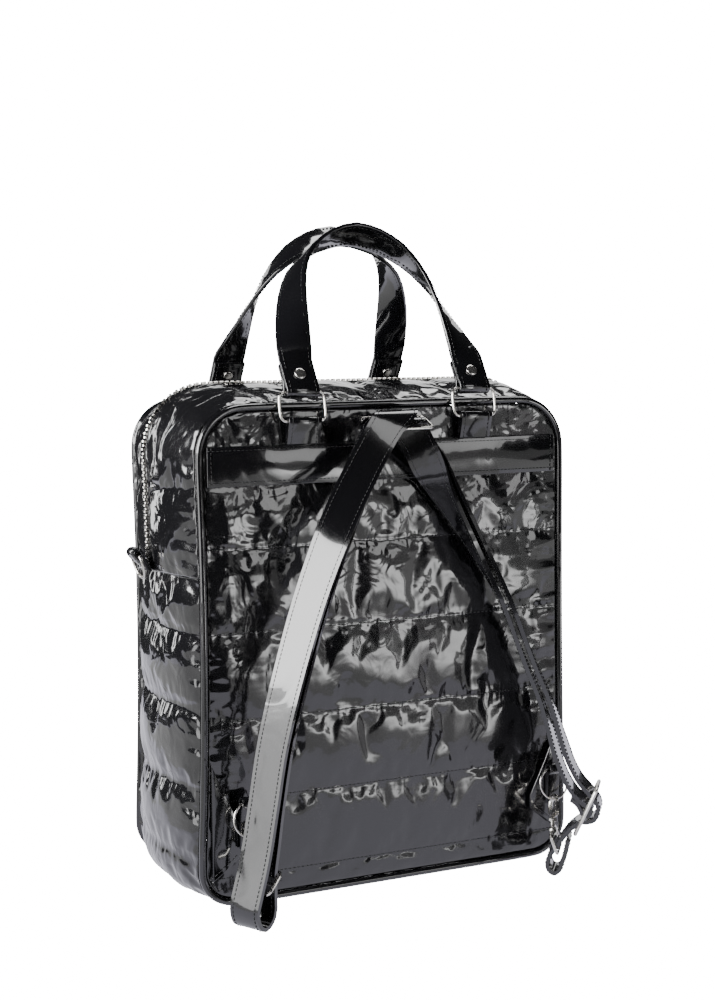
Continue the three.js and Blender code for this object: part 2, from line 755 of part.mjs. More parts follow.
const leftRun = [
  { x: -0.141, out: 1.3, z: 0.994, facing: 9, apart: 6 },
  { x: -0.324, out: 1.344, z: 0.846, facing: 35, apart: 6.5 },
  { x: -0.476, out: 1.456, z: 0.693, facing: 50, apart: 6.5 },
  { x: -0.595, out: 1.532, z: 0.54, facing: 56, apart: 6.5 },
  { x: -0.695, out: 1.604, z: 0.385, facing: 60, apart: 6.5 },
  { x: -0.754, out: 1.688, z: 0.2555, facing: 61, apart: 6.5 },
  { x: -0.785, out: 1.728, z: 0.176, facing: 62, apart: 8 },
  { x: -0.806, out: 1.744, z: 0.126, facing: 63, apart: 9.6 },
  { x: -0.817, out: 1.72, z: 0.088, facing: 63, apart: 14 },
  { x: -0.826, out: 1.704, z: 0.05, facing: 63, apart: 18.5 },
];
const rightRun = [
  { x: 0.826, out: 1.372, z: 0.288, facing: 52, apart: 8 },
  { x: 0.758, out: 1.22, z: 0.3905, facing: 60, apart: 7 },
  { x: 0.663, out: 1.12, z: 0.4905, facing: 64, apart: 6.5 },
  { x: 0.539, out: 1, z: 0.6285, facing: 70, apart: 6.5 },
  { x: 0.3725, out: 0.87, z: 0.7635, facing: 85, apart: 6.5 },
  { x: 0.2385, out: 0.8, z: 0.8605, facing: 105, apart: 6 },
  { x: 0.163, out: 0.75, z: 0.919, facing: 135, apart: 6 },
  { x: 0.085, out: 0.685, z: 0.978, facing: 172, apart: 5 },
];
const bottomFold = [
  { back: 9.4, z: 16 },
  { back: 7.5, z: 9 },
  { back: 3.5, z: 4.6 },
  { back: -1.5, z: 2.9 },
  { back: -6, z: 5 },
  { back: -8.6, z: 10 },
];
const ringFold = { radius: 8.6, over: 1, startX: 6, endX: -16 };
const sewnEnd = [
  { t: 14.4, z: 60.3 },
  { t: 19.2, z: 56.6 },
  { t: 23.9, z: 49 },
  { t: 27.25, z: 49 },
  { t: 28.9, z: 51.9 },
  { t: 27.6, z: 54.5 },
  { t: 18.1, z: 61.8 },
  { t: 10.5, z: 73 },
  { t: 5, z: 86 },
];
const weave = [
  { t: 14, z: 85 },
  { t: 20, z: 74 },
  { t: 27, z: 66 },
  { t: 33.5, z: 58 },
  { t: 34.5, z: 51.5 },
  { t: 31.5, z: 45.5 },
  { t: 26, z: 43.5 },
  { t: 21, z: 43 },
  { t: 13.5, z: 37 },
  { t: 8, z: 30 },
  { t: 4, z: 24 },
  { t: -0.8, z: 17.5 },
  { t: -3.2, z: 11 },
  { t: -2, z: 5.5 },
  { t: 2, z: 3 },
  { t: 6, z: 6 },
  { t: 8.5, z: 13 },
  { t: 10.5, z: 21 },
  { t: 12, z: 29 },
];

const sliderBars = [
  { t: 33.7, z: 69.8 },
  { t: 25.6, z: 51.9 },
  { t: 17.5, z: 33.9 },
];
const sewnFrom = 5.1;

function facingOf(degrees, side) {
  return vec(side * Math.sin(radians(degrees)), -Math.cos(radians(degrees)), 0);
}

function runRow({ x, out, z, facing, apart }, side, layer) {
  const normal = facingOf(facing, side);
  const middle = behind(x * halfBottom, out * strapRing.frontOut, z * frontHeight);
  return { point: middle.addScaledVector(normal, (layer * apart) / 2), normal };
}

function ringFoldRows(layer) {
  const radius = ringFold.radius + strap.thickness * layer;
  const middle = frontHeight + ringFold.over;
  return [0.06, 0.28, 0.5, 0.74].map((share) => {
    const angle = share * Math.PI;
    const x = lerp(ringFold.startX, ringFold.endX, share);
    const out = strapRing.frontOut - radius * Math.cos(angle);
    const point = behind(x, out, middle + radius * Math.sin(angle));
    return { point, across: vec(1, 0, 0), slanted: true };
  });
}

// Points beside the right run's lower end, measured along the direction its outer layer faces
const lowerRight = rightRun[0];
const rightFacing = facingOf(lowerRight.facing, 1);
const rightAcross = vec(rightFacing.y, -rightFacing.x, 0);
const rightOrigin = behind(lowerRight.x * halfBottom, lowerRight.out * strapRing.frontOut, 0);
const besideRight = ({ t, z }) => rightOrigin.clone().addScaledVector(rightFacing, t - sewnFrom).setZ(z);

const lowerLeft = leftRun[leftRun.length - 1];
const leftFacing = facingOf(lowerLeft.facing, -1);
const leftAcross = vec(-leftFacing.y, leftFacing.x, 0);
const leftOrigin = behind(lowerLeft.x * halfBottom, lowerLeft.out * strapRing.frontOut, 0);
const besideLeft = ({ back, z }) => leftOrigin.clone().addScaledVector(leftFacing, -back).setZ(z);

function strapRoute() {
  const up = [
    ...rightRun.map((row) => runRow(row, 1, -1)),
    ...ringFoldRows(-1),
    ...leftRun.map((row) => runRow(row, -1, -1)),
  ];
  const down = [
    ...[...leftRun].reverse().map((row) => runRow(row, -1, 1)),
    ...ringFoldRows(1).reverse(),
    ...[...rightRun].reverse().map((row) => runRow(row, 1, 1)),
  ];
  const flat = (place, across) => (row) => ({ point: place(row), across });
  const route = [
    ...sewnEnd.map(flat(besideRight, rightAcross)),
    ...up,
    ...bottomFold.map(flat(besideLeft, leftAcross)),
    ...down.map(({ normal, ...row }) => ({ ...row, normal: normal?.negate() })),
    ...weave.map(flat(besideRight, rightAcross)),
  ];
  return route.map(({ across, normal, ...row }, i) => ({
    ...row,
    across: across ?? normal.clone().cross(heading(route, i)),
  }));
}

addPiece('shoulder_strap', strip(strapRoute(), strap.width, strap.thickness), 'trim');

// Adjusting slider: a rectangular frame with a middle bar

function strapSlider() {
  const [high, middle, low] = sliderBars.map(besideRight);
  const bar = new THREE.CylinderGeometry(wire, wire, slider.width, 8).rotateZ(Math.PI / 2);
  const frame = barFrame(low, high, rightAcross).setPosition(middle);
  return joined(barRing(low, high, rightAcross, slider), bar.applyMatrix4(frame));
}

addPiece('strap_slider', strapSlider(), 'metal');

// Triangular tabs at the lower corners of the back panel, each with a loop and an O-ring

function triangleTab(side) {
  const rings = [0, 0.12, 0.3, 0.55, 0.8, 1].map((share) => {
    const low = lerp(triangle.low, triangle.tip - triangle.tipWidth / 2, share);
    const high = lerp(triangle.high, triangle.tip + triangle.tipWidth / 2, share);
    const heights = [0, 0.25, 0.5, 0.75, 1].map((part) => lerp(low, high, part));
    const rim = Math.min(...heights.map((z) => rimHalfWidth(z) * halfWidthShare(z, side))) - gap;
    const x = lerp(rim, triangle.tipX, share);
    const swell = Math.max(...heights.map((z) => panelSwell(side * x, z, rimHalfWidth(z))));
    const face = swell + gap;
    return [
      behind(side * x, face, low),
      behind(side * x, face + leather, low),
      behind(side * x, face + leather, high),
      behind(side * x, face, high),
    ];
  });
  return skin(rings);
}

// Swivel hook in its own frame: y runs from the eye's bar to the O-ring, x is the side of the lever

const clawPath = [[0, 0], [0, 3], [-4.5, 6], [-6, 11], [-5, 16], [0, 19], [4.5, 16.5], [5.5, 13]];
const hinge = vec(4.5, 5, 0);
const leverTip = vec(5.5, 12.4, 0);

function hookBody(reach) {
  const claw = wireAlong(clawPath.map(([s, a]) => vec(s, a, 0)), hook.wire, false, 6);
  const low = hook.ringAt - reach + eye.boss + gap;
  const post = new THREE.CylinderGeometry(hook.post, hook.post, 1 - low, 8).translate(0, (low + 1) / 2, 0);
  const { radius, height, below } = collarSize;
  const collar = new THREE.CylinderGeometry(radius, radius, height, 8).translate(0, -below, 0);
  const { thick, wide, tall } = cheekSize;
  const cheek = new THREE.BoxGeometry(wide, tall, thick).translate(cheekSize.across, cheekSize.up, 0);
  const out = hook.lever / 2 + gap + thick / 2;
  const cheeks = [-out, out].map((z) => cheek.clone().translate(0, 0, z));
  return joined(claw, post, collar, ...cheeks);
}

function hookLever() {
  const length = hinge.distanceTo(leverTip) + 1;
  const bar = new THREE.BoxGeometry(hook.lever, length, hook.lever).translate(0, length / 2 - 1, 0);
  const lean = Math.atan2(leverTip.x - hinge.x, leverTip.y - hinge.y);
  return bar.rotateZ(-lean).translate(hinge.x, hinge.y, 0);
}

const eyeBars = {
  left: {
    high: behind(-leftEye.highX, leftEye.highOut, leftEye.high),
    low: besideLeft({ back: 0, z: leftEye.low }),
    across: leftAcross,
  },
  right: {
    high: besideRight({ t: rightEye.highT, z: rightEye.high }),
    low: besideRight({ t: rightEye.lowT, z: rightEye.low }),
    across: rightAcross,
  },
};

for (const [name, side] of [['left', -1], ['right', 1]]) {
  const { loopX, top, lowX, lowOut, low } = oRings[name];
  const { high: eyeHigh, low: eyeLow, across } = eyeBars[name];
  addPiece(`${name}_triangle_tab`, triangleTab(side), 'trim');
  const loop = loopTab({
    ...ringLoop, height: top, foot: triangle.tip - ringLoop.footIn, width: triangle.tipWidth, start: -80,
  });
  addPiece(`${name}_ring_loop`, turned(loop.translate(-side * loopX, depth / 2, 0)), 'trim');
  const ringTop = behind(side * loopX, ringLoop.out, top + ringLoop.ringUp);
  const ringBottom = behind(side * lowX, lowOut, low);
  const round = wireAlong(roundPath(ringTop.distanceTo(ringBottom) / 2, 14), thinWire);
  addPiece(`${name}_o_ring`, round.applyMatrix4(barFrame(ringBottom, ringTop, vec(1, 0, 0))), 'metal');
  const boss = new THREE.SphereGeometry(eye.boss, 8, 6).translate(eyeHigh.x, eyeHigh.y, eyeHigh.z);
  addPiece(`${name}_hook_eye`, joined(barRing(eyeLow, eyeHigh, across, eye, eye.wire), boss), 'metal');
  const up = ringBottom.clone().sub(eyeHigh).normalize();
  const wireWay = square(vec(1, 0, 0), up);
  const frame = new THREE.Matrix4().makeBasis(wireWay.clone().cross(up), up, wireWay.negate());
  frame.setPosition(ringBottom.clone().addScaledVector(up, -hook.ringAt));
  addPiece(`${name}_hook_body`, hookBody(eyeHigh.distanceTo(ringBottom)).applyMatrix4(frame), 'metal');
  addPiece(`${name}_hook_lever`, hookLever().applyMatrix4(frame), 'metal');
}

// Tabs with a D-ring at both ends of the zip

function dPath(width, drop) {
  const path = [vec(-width / 2, 0, 0), vec(width / 2, 0, 0)];
  for (let i = 1; i <= 9; i += 1) {
    const angle = (i / 10) * Math.PI;
    const across = Math.sign(Math.cos(angle)) * Math.abs(Math.cos(angle)) ** 0.6;
    path.push(vec((width / 2) * across, -drop * Math.sin(angle) ** 0.8, 0));
  }
  return path;
}

for (const [name, side] of [['left', -1], ['right', 1]]) {
  const along = side * (zipEnd + 2 * gap);
  const surface = shellPoint(along, 0, fullSwell(along) - 1 + gap);
  const turn = new THREE.Matrix4().makeBasis(vec(0, -side, 0), vec(side, 0, 0), vec(0, 0, 1));
  const tab = loopTab({
    out: sideTab.reach, height: sideTab.rise, foot: 0, tailOut: 0,
    hole: wire + gap, ply: leather, width: sideTab.width,
  });
  addPiece(`${name}_side_tab`, tab.applyMatrix4(turn.setPosition(surface)), 'trim');
  const bar = surface.clone().add(vec(side * sideTab.reach, 0, sideTab.rise));
  const low = bar.clone().add(vec(-side * sideTab.dropIn, 0, -sideTab.drop));
  const ring = wireAlong(dPath(sideTab.barWidth, sideTab.drop), wire);
  addPiece(`${name}_d_ring`, ring.applyMatrix4(barFrame(low, bar, vec(0, 1, 0)).setPosition(bar)), 'metal');
}

export default bag;
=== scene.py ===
import itertools
import math

import bmesh
import bpy
from mathutils import Matrix, Vector, noise


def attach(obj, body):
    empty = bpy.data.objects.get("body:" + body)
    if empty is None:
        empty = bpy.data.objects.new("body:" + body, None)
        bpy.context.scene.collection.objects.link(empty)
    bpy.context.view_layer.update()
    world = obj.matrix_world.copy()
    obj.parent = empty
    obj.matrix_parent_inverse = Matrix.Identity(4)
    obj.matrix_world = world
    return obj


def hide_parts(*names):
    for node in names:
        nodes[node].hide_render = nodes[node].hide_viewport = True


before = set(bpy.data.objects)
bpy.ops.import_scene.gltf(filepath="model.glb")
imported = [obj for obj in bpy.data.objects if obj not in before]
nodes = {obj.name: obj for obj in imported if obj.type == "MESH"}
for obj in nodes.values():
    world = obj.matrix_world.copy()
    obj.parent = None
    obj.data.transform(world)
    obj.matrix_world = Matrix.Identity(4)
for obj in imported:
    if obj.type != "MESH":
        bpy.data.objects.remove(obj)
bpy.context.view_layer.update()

# Camera of the photograph, fitted to the corners of the back panel. It stands to the left of the
# strap side and looks slightly down.
TURN, TILT, ROLL = (math.radians(angle) for angle in (25.53, 5.60, -0.54))
CAMERA_AT = (-0.5449, -1.1609, 0.4072)
camera_data = bpy.data.cameras.new("photo_camera")
camera_data.sensor_width = 36
camera_data.lens = 60.62
camera = bpy.data.objects.new("photo_camera", camera_data)
ahead = Vector((math.sin(TURN) * math.cos(TILT), math.cos(TURN) * math.cos(TILT), -math.sin(TILT)))
right = Vector((math.cos(TURN), -math.sin(TURN), 0))
up = right.cross(ahead)
right_rolled = right * math.cos(ROLL) + up * math.sin(ROLL)
up_rolled = -right * math.sin(ROLL) + up * math.cos(ROLL)
camera.matrix_world = Matrix((*zip(right_rolled, up_rolled, -ahead, CAMERA_AT), (0, 0, 0, 1)))
bpy.context.collection.objects.link(camera)
bpy.context.scene.camera = camera

# Back and front panels: glossy vinyl over wadding, quilted in level rows and sewn in at the rim. Each
# is a cloth held along its seams, blown up a little and cut larger than its frame, so it puckers.
DEPTH = 0.141
WIDTH_LOW, WIDTH_HIGH = 0.306, 0.300
LOW, HIGH = 0.003, 0.361
HALF = WIDTH_LOW / 2
RADIUS_LOW, RADIUS_HIGH = 0.030, 0.039
RIM = 0.0063
WAIST = {-1: 0.005, 1: 0.0015}
BAND_LOW, BAND_HIGH = 0.303, 0.331
PANEL_SEAMS = [LOW + RIM] + [LOW + share * (HIGH - LOW) for share in (0.06, 0.215, 0.374, 0.548, 0.715)]
PANEL_SEAMS += [BAND_LOW, BAND_HIGH, HIGH - RIM]
PAD_RISE, BAND_RISE = 0.006, 0.002
FLAT_BELOW = 0.002
LOFT_TAUT, LOFT_SLACK = 0.16, 0.14
PANEL_COLUMNS = 134
CLOTH_STEP = 0.0026
CLOTH_FRAMES = 16
HEM_WIDTH = 0.003
PUCKER, GATHER = 0.0065, 0.026
CREASE, RIPPLE = 0.0008, 0.0008


def width_share(z, side):
    """Half width of the bag at a height, as a share of the bottom's; the waist draws it in."""
    share = min(max((z - LOW) / (HIGH - LOW), 0), 1)
    wide = WIDTH_LOW + (WIDTH_HIGH - WIDTH_LOW) * share
    return (wide / 2 - WAIST[1 if side > 0 else -1] * 4 * share * (1 - share)) / HALF


def rim_half(z):
    """Half width of the panel inside its rim, before the waist, with its rounded corners."""
    low_radius, high_radius = RADIUS_LOW - RIM, RADIUS_HIGH - RIM
    low = LOW + RIM + low_radius - z
    high = z - (HIGH - RIM - high_radius)
    cut = 0
    if low > 0:
        cut = low_radius - math.sqrt(max(low_radius ** 2 - low ** 2, 0))
    if high > 0:
        cut = high_radius - math.sqrt(max(high_radius ** 2 - high ** 2, 0))
    return HALF - RIM - cut


def puff(place, seams):
    """Swell between two seams, from 0 at a seam to 1 midway."""
    for a, b in zip(seams, seams[1:]):
        low, high = min(a, b), max(a, b)
        if low <= place <= high and high > low:
            return math.sin(math.pi * (place - low) / (high - low)) ** 0.6
    return 0


def spread(seams, step):
    """Places about a step apart that fall on every seam."""
    places = []
    for a, b in zip(seams, seams[1:]):
        count = max(2, round(abs(b - a) / step))
        places += [a + (b - a) * k / count for k in range(count)]
    return places + [seams[-1]]


def cad_swell(x, z, half):
    """Height of the panel's pads over their seams, as its solid has it."""
    mm_x, mm_z = x * 1000, z * 1000
    across = min(1, (half - abs(x)) / 0.015)
    crown = 0.72 + 0.28 * math.cos(x / half * math.pi / 2)
    gather = 0.12 * math.sin(mm_x / 9 + mm_z / 17) + 0.08 * math.sin(mm_x / 5.3 - mm_z / 11)
    lift = PAD_RISE * puff(z, PANEL_SEAMS[:-2]) + BAND_RISE * puff(z, PANEL_SEAMS[-2:])
    return lift * math.sqrt(max(across, 0)) * (crown + gather)


def slack_at(z):
    """How slack the vinyl is: taut in the low rows, loose in the high ones."""
    return 0.3 + 0.7 * min(max((z - 0.13) / 0.13, 0), 1)


def panel_rows(facing):
    """Rows of cloth points up one panel, gathered at the rim and held on its seams and under its band."""
    rows = []
    for z in spread(PANEL_SEAMS, CLOTH_STEP):
        half = rim_half(z)
        slack = slack_at(z)
        loft = LOFT_TAUT + LOFT_SLACK * slack
        near = min(abs(z - seam) for seam in PANEL_SEAMS)
        row = []
        for i in range(PANEL_COLUMNS + 1):
            x = (-1 + 2 * i / PANEL_COLUMNS) * half
            full = cad_swell(x, z, half)
            side = math.exp(-(half - abs(x)) / GATHER)
            crease = CREASE * slack * noise.noise(Vector((x * 42 + z * 20, z * 48 - x * 16, facing * 3.1)))
            gather = RIPPLE * side * noise.noise(Vector((x * 14, z * 130, 5.3 + facing)))
            held = near < 1e-6 or BAND_LOW <= z <= BAND_HIGH or half - abs(x) < 1e-6
            rise = min(full, max(loft * full + (crease + gather) * min(1, full / FLAT_BELOW), 0))
            point = Vector((x * width_share(z, x), facing * (DEPTH / 2 + (0 if held else rise)), z))
            row.append((point, held, x, z, math.exp(-near / PUCKER), side, slack, full))
        if facing > 0:
            row.reverse()
        rows.append(row)
    return rows


def quilt(name, rows, grow, pressure, cap):
    """Cloth through rows of (point, held, seam direction, across it, pucker, gather, slack)."""
    mesh = bpy.data.meshes.new(name)
    wide = len(rows[0])
    cells = [cell for row in rows for cell in row]
    faces = [
        (k * wide + i, k * wide + i + 1, (k + 1) * wide + i + 1, (k + 1) * wide + i)
        for k in range(len(rows) - 1) for i in range(wide - 1)
    ]
    mesh.from_pydata([cell[0] for cell in cells], [], faces)
    mesh.update()
    flat = mesh.uv_layers.new(name="seam_map")
    for loop in mesh.loops:
        flat.data[loop.index].uv = cells[loop.vertex_index][2:4]
    for place, label in ((4, "pucker"), (5, "gather"), (6, "slack")):
        share = mesh.attributes.new(label, "FLOAT", "POINT")
        share.data.foreach_set("value", [cell[place] for cell in cells])
    obj = bpy.data.objects.new(name, mesh)
    bpy.context.collection.objects.link(obj)
    pins = obj.vertex_groups.new(name="seams")
    pins.add([number for number, cell in enumerate(cells) if cell[1]], 1, "REPLACE")
    cloth = obj.modifiers.new("cloth", "CLOTH")
    settings = cloth.settings
    settings.vertex_group_mass = "seams"
    settings.pin_stiffness = 50
    settings.quality = 6
    settings.mass = 0.25
    settings.tension_stiffness = 25
    settings.compression_stiffness = 18
    settings.shear_stiffness = 8
    settings.bending_stiffness = 0.4
    settings.tension_damping = 12
    settings.compression_damping = 12
    settings.shear_damping = 12
    settings.air_damping = 4
    settings.shrink_min = -grow
    settings.use_pressure = True
    settings.uniform_pressure_force = pressure
    settings.effector_weights.gravity = 0
    cloth.collision_settings.use_collision = False
    cloth.point_cache.frame_start = 1
    cloth.point_cache.frame_end = CLOTH_FRAMES
    scene = bpy.context.scene
    for number in range(1, CLOTH_FRAMES + 1):
        scene.frame_set(number)
        bpy.context.view_layer.update()
    shape = obj.evaluated_get(bpy.context.evaluated_depsgraph_get()).to_mesh()
    moved = [v.co.copy() for v in shape.vertices]
    obj.modifiers.remove(cloth)
    for vertex, place in zip(mesh.vertices, moved):
        move = place - vertex.co
        vertex.co += move * min(1, cap / max(move.length, 1e-9))
    scene.frame_set(1)
    return obj


def finished(obj, material, levels=1, hem=0):
    """Smooth shading and modifiers of a soft piece; hem is the side to which its edges turn in."""
    obj.data.materials.clear()
    obj.data.materials.append(material)
    for face in obj.data.polygons:
        face.use_smooth = True
    smooth = obj.modifiers.new("smooth", "SUBSURF")
    smooth.levels = smooth.render_levels = levels
    if hem:
        turned = obj.modifiers.new("turned_edge", "SOLIDIFY")
        turned.thickness = HEM_WIDTH
        turned.offset = hem
        turned.use_rim_only = True
    return obj


def wrinkle_group():
    """Height of the wrinkles: crumples where the vinyl is slack, and puckers square to the seams."""
    group = bpy.data.node_groups.new("vinyl crumples", "ShaderNodeTree")
    for socket, way in (("Size", "INPUT"), ("Slack", "INPUT"), ("Height", "OUTPUT"), ("Smudge", "OUTPUT")):
        group.interface.new_socket(socket, in_out=way, socket_type="NodeSocketFloat")
    n, link = group.nodes, group.links.new
    start, end = n.new("NodeGroupInput"), n.new("NodeGroupOutput")
    place = n.new("ShaderNodeTexCoord")
    scale = n.new("ShaderNodeVectorMath")
    scale.operation = "SCALE"
    link(place.outputs["Object"], scale.inputs[0])
    link(start.outputs["Size"], scale.inputs["Scale"])

    def noise_at(vector, detail, distortion):
        texture = n.new("ShaderNodeTexNoise")
        texture.inputs["Scale"].default_value = 1.0
        texture.inputs["Detail"].default_value = detail
        texture.inputs["Distortion"].default_value = distortion
        link(vector, texture.inputs["Vector"])
        return texture.outputs["Fac"]

    def combined(operation, a, b):
        node = n.new("ShaderNodeMath")
        node.operation = operation
        for socket, value in zip(node.inputs, (a, b)):
            if isinstance(value, float):
                socket.default_value = value
            else:
                link(value, socket)
        return node.outputs[0]

    def share(label):
        attribute = n.new("ShaderNodeAttribute")
        attribute.attribute_name = label
        return attribute.outputs["Fac"]

    def stretched(along_seam, across_seam, detail):
        stretch = n.new("ShaderNodeVectorMath")
        stretch.operation = "MULTIPLY"
        stretch.inputs[1].default_value = (along_seam, across_seam, 1)
        link(place.outputs["UV"], stretch.inputs[0])
        return noise_at(stretch.outputs[0], detail, 0.6)

    cells = n.new("ShaderNodeTexVoronoi")
    cells.feature = "SMOOTH_F1"
    cells.inputs["Scale"].default_value = 1.7
    link(scale.outputs[0], cells.inputs["Vector"])
    facets = combined("MULTIPLY", cells.outputs["Distance"], 0.25)
    crumple = combined("ADD", noise_at(scale.outputs[0], 1.5, 1.6), facets)
    slack = combined("ADD", share("slack"), start.outputs["Slack"])
    pucker = combined("MULTIPLY", combined("MULTIPLY", stretched(150, 30, 0.5), share("pucker")), 0.9)
    gather = combined("MULTIPLY", combined("MULTIPLY", stretched(15, 95, 0.5), share("gather")), 1.7)
    height = combined("ADD", combined("MULTIPLY", crumple, slack), combined("ADD", pucker, gather))
    link(height, end.inputs["Height"])
    smudge = n.new("ShaderNodeTexNoise")
    smudge.inputs["Scale"].default_value = 0.45
    smudge.inputs["Detail"].default_value = 5.0
    link(scale.outputs[0], smudge.inputs["Vector"])
    link(smudge.outputs["Fac"], end.inputs["Smudge"])
    return group


CRUMPLES = wrinkle_group()


def vinyl(name, colour, rough, size, bump, slack=0.0):
    """Patent vinyl under a clear coat, wrinkled by the crumples and dulled a little where it is worn."""
    material = bpy.data.materials.new(name)
    material.use_nodes = True
    n, link = material.node_tree.nodes, material.node_tree.links.new
    shader = n["Principled BSDF"]
    shader.inputs["Base Color"].default_value = (*colour, 1)
    shader.inputs["Coat Weight"].default_value = 1
    shader.inputs["Coat Roughness"].default_value = 0.04
    shader.inputs["IOR"].default_value = 1.52
    crumples = n.new("ShaderNodeGroup")
    crumples.node_tree = CRUMPLES
    crumples.inputs["Size"].default_value = size
    crumples.inputs["Slack"].default_value = slack
    wear = n.new("ShaderNodeMapRange")
    wear.inputs["From Min"].default_value = 0.35
    wear.inputs["From Max"].default_value = 0.7
    wear.inputs["To Min"].default_value = rough
    wear.inputs["To Max"].default_value = rough + 0.12
    link(crumples.outputs["Smudge"], wear.inputs["Value"])
    link(wear.outputs[0], shader.inputs["Roughness"])
    height = n.new("ShaderNodeBump")
    height.inputs["Strength"].default_value = bump
    height.inputs["Distance"].default_value = 0.002
    link(crumples.outputs["Height"], height.inputs["Height"])
    link(height.outputs["Normal"], shader.inputs["Normal"])
    link(height.outputs["Normal"], shader.inputs["Coat Normal"])
    return material


quilted_vinyl = vinyl("quilted vinyl", (0.006, 0.006, 0.007), 0.12, 42, 0.42)
for side_name, facing in (("back", -1), ("front", 1)):
    rows = panel_rows(facing)
    panel = quilt(f"{side_name}_panel_cover", rows, grow=0.004, pressure=0.5, cap=0.0009)
    for vertex, cell in zip(panel.data.vertices, (cell for row in rows for cell in row)):
        rise = min(max(facing * vertex.co.y - DEPTH / 2, 0), cell[7])
        vertex.co.y = facing * (DEPTH / 2 + rise)
    finished(panel, quilted_vinyl, hem=-1)
    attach(panel, "bag")
    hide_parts(f"{side_name}_panel")

# Side wall under the zip, and the two strips beside it over the top: the same wadded vinyl, with seams
# from edge to edge. They are sewn between the pipings, and the floor flattens the bottom.
BOTTOM_RUN = HALF - RADIUS_LOW
SIDE_START = BOTTOM_RUN + RADIUS_LOW * math.pi / 2
SIDE_END = SIDE_START + HIGH - LOW - RADIUS_LOW - RADIUS_HIGH
TOP_START = SIDE_END + RADIUS_HIGH * math.pi / 2
TOP_MIDDLE = TOP_START + HALF - RADIUS_HIGH
ZIP_END_HEIGHT = 0.239
ZIP_END = SIDE_START + ZIP_END_HEIGHT - LOW - RADIUS_LOW
UPPER_START = ZIP_END + 0.0003
WALL_EDGE = DEPTH / 2 - 0.0033
HALF_ZIP_SLOT = 0.004
WALL_CELLS, STRIP_CELLS = 52, 26
SIDE_SEAMS = [ZIP_END * share for share in (1, 0.894, 0.75, 0.601, 0.463, 0.308, 0.154, 0)]
UPPER_SEAMS = [UPPER_START + (TOP_MIDDLE - UPPER_START) * share for share in (0, 0.235, 0.49, 0.75, 1)]
SWELL_SIDE, SWELL_TOP, SWELL_BOTTOM, SCALLOP = 0.014, 0.013, 0.009, 0.004
EDGE_SINK, SLACK_SINK = 0.001, 0.0012
WALL_GATHER = 0.016


def edge_at(along):
    """Point and outward direction on the bag's outline, a run away from the bottom's middle."""
    side, run = (-1 if along < 0 else 1), abs(along)
    if run <= BOTTOM_RUN:
        x, z, turn = run, LOW, -math.pi / 2
    elif run <= SIDE_START:
        turn = -math.pi / 2 + (run - BOTTOM_RUN) / RADIUS_LOW
        x, z = BOTTOM_RUN + RADIUS_LOW * math.cos(turn), LOW + RADIUS_LOW * (1 + math.sin(turn))
    elif run <= SIDE_END:
        x, z, turn = HALF, LOW + RADIUS_LOW + run - SIDE_START, 0
    elif run <= TOP_START:
        turn = (run - SIDE_END) / RADIUS_HIGH
        x, z = HALF - RADIUS_HIGH + RADIUS_HIGH * math.cos(turn), HIGH - RADIUS_HIGH * (1 - math.sin(turn))
    else:
        x, z, turn = TOP_MIDDLE - run, HIGH, math.pi / 2
    return Vector((side * x * width_share(z, side), 0, z)), Vector((side * math.cos(turn), 0, math.sin(turn)))


def full_swell(along):
    """Height of the wall's pads over the outline, from the side's to the top's or the bottom's."""
    nz = edge_at(along)[1].z
    end = SWELL_TOP if nz > 0 else SWELL_BOTTOM
    return SWELL_SIDE + (end - SWELL_SIDE) * abs(nz)


def wall_rows(places, seams, shares, facing=0):
    """Rows of cloth points across a wall; facing is the side of the zip that a strip lies on."""
    rows = []
    for along in places:
        base, normal = edge_at(along)
        full = full_swell(along)
        near = min(abs(abs(along) - seam) for seam in seams)
        row = []
        for share in shares:
            y = share * WALL_EDGE
            crown = 1 - abs(share) ** 2.2
            dip = SCALLOP * (1 - puff(abs(along), seams))
            if facing:
                dip *= min(1, 1.6 * abs(share))
            held = near < 1e-6 or share in (shares[0], shares[-1])
            side = math.exp(-(1 - abs(share)) * WALL_EDGE / WALL_GATHER)
            crease = CREASE * noise.noise(Vector((along * 46 + y * 18, y * 34, 7.7 + facing)))
            ripple = RIPPLE * side * noise.noise(Vector((along * 120, y * 20, 2.9 + facing)))
            wrinkle = 0 if held else crease + ripple - SLACK_SINK * crown
            point = base + normal * ((full - dip) * crown - EDGE_SINK + wrinkle)
            cell = (Vector((point.x, y, max(point.z, 0.0))), held, y, along)
            row.append((*cell, math.exp(-near / PUCKER), 0.5 * side, 1.1))
        rows.append(row)
    return rows


def both_sides(seams, step):
    half = spread(seams, step)
    return half + [-place for place in reversed(half[:-1])]


across = [-1 + 2 * i / WALL_CELLS for i in range(WALL_CELLS + 1)]
rows = wall_rows(both_sides(SIDE_SEAMS, CLOTH_STEP), SIDE_SEAMS, across)
lower = quilt("lower_wall_cover", rows, grow=0.018, pressure=-1.2, cap=0.002)
for vertex in lower.data.vertices:
    vertex.co.z = max(vertex.co.z, 0.0)
finished(lower, quilted_vinyl, hem=1)
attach(lower, "bag")
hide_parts("lower_wall")
for name, facing in (("rear", -1), ("front", 1)):
    inside = HALF_ZIP_SLOT / WALL_EDGE
    shares = [facing * (1 - (1 - inside) * i / STRIP_CELLS) for i in range(STRIP_CELLS + 1)]
    rows = wall_rows(both_sides(UPPER_SEAMS, CLOTH_STEP), UPPER_SEAMS, shares, facing)
    strip_cover = quilt(f"{name}_zip_strip_cover", rows, grow=0.018, pressure=-1.2 * facing, cap=0.002)
    finished(strip_cover, quilted_vinyl, hem=facing)
    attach(strip_cover, "bag")
    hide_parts(f"{name}_zip_strip")

